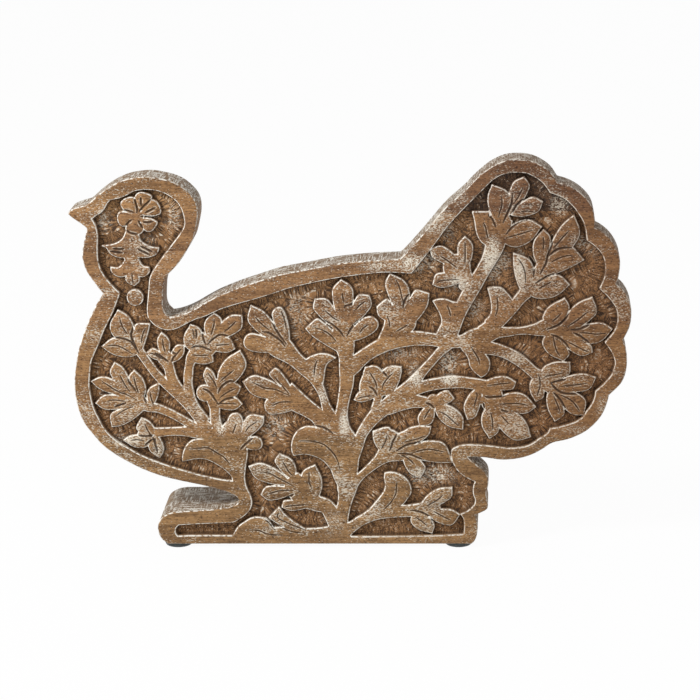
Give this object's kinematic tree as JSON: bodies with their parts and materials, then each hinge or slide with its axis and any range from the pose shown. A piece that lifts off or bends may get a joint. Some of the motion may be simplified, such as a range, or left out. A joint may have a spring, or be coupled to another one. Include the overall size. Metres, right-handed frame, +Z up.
{
  "type": "thanksgiving turkey figure",
  "caption": "Wooden turkey shelf figure of edge-glued boards with a leafy vine carved in low relief, on a deeper foot with rubber bumpers.",
  "frame": {"origin": "centre of the bounding box, on the shelf", "axes": "+Z up, the carved face looks towards -Y, the head is at -X and the tail at +X"},
  "size_m": [0.356, 0.057, 0.256],
  "materials": {
    "carved_wood": "matt brown wood with whitewash left in the carving and rubbed along the edges",
    "tail_wood": "matt reddish brown wood with whitewash left in the carving and rubbed along the edges",
    "base_wood": "matt brown wood, whitewashed and scratched on top",
    "bumper_rubber": "smooth black rubber"
  },
  "bodies": {
    "root": {"lower_board": "carved_wood", "middle_board": "carved_wood", "upper_board": "carved_wood", "head_board": "carved_wood", "tail_board": "tail_wood", "base_block": "base_wood", "bumper_front_left": "bumper_rubber", "bumper_front_right": "bumper_rubber", "bumper_rear_left": "bumper_rubber", "bumper_rear_right": "bumper_rubber"}
  },
  "joints": []
}
